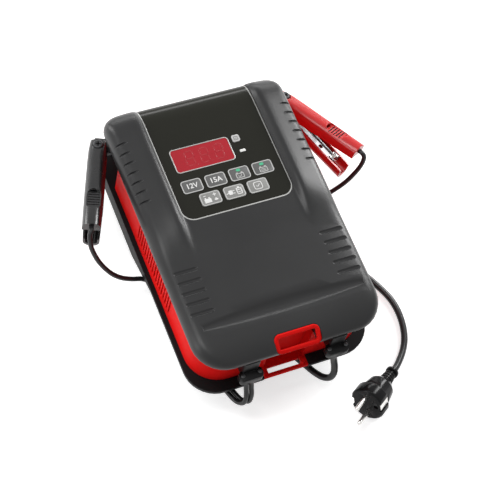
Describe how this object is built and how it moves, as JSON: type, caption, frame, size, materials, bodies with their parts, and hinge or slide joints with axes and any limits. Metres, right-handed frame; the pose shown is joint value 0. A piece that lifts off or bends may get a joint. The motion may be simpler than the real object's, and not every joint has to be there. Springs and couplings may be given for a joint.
{
  "type": "car battery charger",
  "caption": "Portable car battery charger with a display panel, a red vented band, a cord store behind it, a mains plug and a red and a black battery clamp.",
  "frame": {"origin": "centre of the rear flange's outer face, on which the charger lies", "axes": "+X to the right seen from the front with the display end up, +Y toward the display end, +Z out of the front face"},
  "size_m": [0.306, 0.3533, 0.1198],
  "materials": {
    "soft_touch_shell": "satin",
    "red_housing": "satin",
    "rubber_pads": "matte",
    "zinc_screws": "satin",
    "panel_face": "satin",
    "silver_trim": "satin",
    "display_glass": "glossy",
    "indicator_lens": "satin",
    "led_lens": "glossy",
    "key_caps": "satin",
    "light_key": "satin",
    "green_board": "satin",
    "switch_housing": "matte",
    "copper_coil": "satin",
    "iron_core": "matte",
    "aluminium_sink": "satin",
    "black_moulding": "satin",
    "red_moulding": "satin",
    "steel_jaw": "satin",
    "plated_steel": "satin",
    "nickel_pins": "satin",
    "black_cord": "matte",
    "red_lead_cord": "matte"
  },
  "bodies": {
    "housing": {"rear_flange": "soft_touch_shell", "base_pads": "rubber_pads", "flange_screws": "zinc_screws", "back_shell": "soft_touch_shell", "cord_hub": "soft_touch_shell", "mid_frame": "red_housing", "front_shell": "soft_touch_shell", "hanger_loop": "red_housing", "hanger_bezel": "red_housing", "control_panel": "panel_face", "panel_trim": "silver_trim", "display_window": "display_glass", "window_bezel": "silver_trim", "indicator_lenses": "indicator_lens", "status_led": "led_lens", "control_board": "green_board", "key_switches": "switch_housing", "display_module": "switch_housing", "power_board": "green_board", "transformer": "copper_coil", "transformer_core": "iron_core", "heat_sink": "aluminium_sink", "capacitors": "aluminium_sink", "parking_lugs": "black_moulding", "mains_gland": "black_moulding", "lead_gland": "black_moulding", "gland_clips": "zinc_screws", "black_upper_cover": "black_moulding", "black_upper_plate": "steel_jaw", "black_rivet": "plated_steel", "black_spring": "plated_steel", "black_screw": "plated_steel", "red_upper_cover": "red_moulding", "red_upper_plate": "steel_jaw", "red_rivet": "plated_steel", "red_spring": "plated_steel", "red_screw": "plated_steel", "mains_loop": "black_cord", "mains_winding": "black_cord", "mains_tail": "black_cord", "plug_body": "black_moulding", "plug_neck": "black_moulding", "plug_pins": "nickel_pins", "plug_earth": "nickel_pins", "black_lead_loop": "black_cord", "black_lead_winding": "black_cord", "black_lead_tail": "black_cord", "red_lead_loop": "red_lead_cord", "red_lead_winding": "red_lead_cord", "red_lead_tail": "red_lead_cord"},
    "key_battery_cap": {"key_battery": "key_caps"},
    "key_plug_cap": {"key_plug": "key_caps"},
    "key_select_cap": {"key_select": "key_caps"},
    "key_small_cap": {"key_small": "light_key"},
    "black_clamp_lower": {"black_lower_cover": "black_moulding", "black_lower_plate": "steel_jaw"},
    "red_clamp_lower": {"red_lower_cover": "red_moulding", "red_lower_plate": "steel_jaw"}
  },
  "joints": [
    {"name": "key_battery_press", "type": "slide", "parent": "housing", "child": "key_battery_cap", "axis": [0, 0, -1], "range_m": [0, 0.0006], "stiffness_N_per_m": 800, "springref_m": -0.0006},
    {"name": "key_plug_press", "type": "slide", "parent": "housing", "child": "key_plug_cap", "axis": [0, 0, -1], "range_m": [0, 0.0006], "stiffness_N_per_m": 800, "springref_m": -0.0006},
    {"name": "key_select_press", "type": "slide", "parent": "housing", "child": "key_select_cap", "axis": [0, 0, -1], "range_m": [0, 0.0006], "stiffness_N_per_m": 800, "springref_m": -0.0006},
    {"name": "key_small_press", "type": "slide", "parent": "housing", "child": "key_small_cap", "axis": [0, 0, -1], "range_m": [0, 0.0006], "stiffness_N_per_m": 800, "springref_m": -0.0006},
    {"name": "black_clamp_hinge", "type": "hinge", "parent": "housing", "child": "black_clamp_lower", "pos_m": [-0.1078, 0.112, 0.07095], "axis": [-0.9179, 0.3934, -0.0523], "range_deg": [0, 17], "stiffness_Nm_per_rad": 1.2, "springref_deg": -20.05},
    {"name": "red_clamp_hinge", "type": "hinge", "parent": "housing", "child": "red_clamp_lower", "pos_m": [0.112, 0.1135, 0.07095], "axis": [-0.8772, -0.4278, 0.2181], "range_deg": [0, 17], "stiffness_Nm_per_rad": 1.2, "springref_deg": -20.05}
  ]
}
